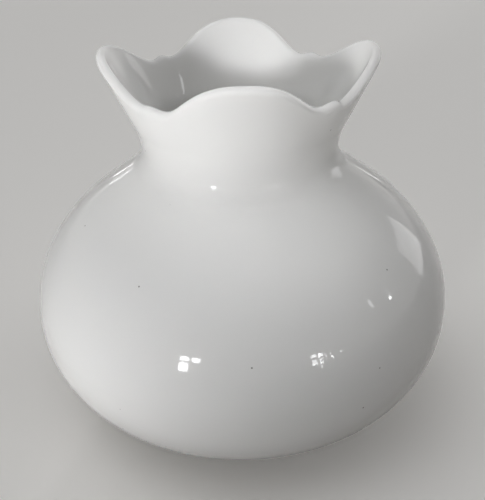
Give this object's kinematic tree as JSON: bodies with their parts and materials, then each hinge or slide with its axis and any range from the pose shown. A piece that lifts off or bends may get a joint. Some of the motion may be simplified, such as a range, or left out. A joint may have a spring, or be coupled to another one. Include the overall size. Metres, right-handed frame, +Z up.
{
  "type": "ball vase",
  "caption": "Ball vase of opal white glass with a squat round belly, a drawn-in neck and a flared collar whose rim is cut into broad petals with a small lobe between each two.",
  "frame": {"origin": "middle of the base, level with the flat ground ring that the vase stands on", "axes": "+Z up along the vase's axis; one petal points along each of +X, -X, +Y and -Y, and -Y is the side turned to the camera in the picture"},
  "size_m": [0.18, 0.18, 0.1585],
  "materials": {
    "opal_glass": "fire-polished gloss, opaque white"
  },
  "bodies": {
    "root": {"vase_body": "opal_glass"}
  },
  "joints": []
}
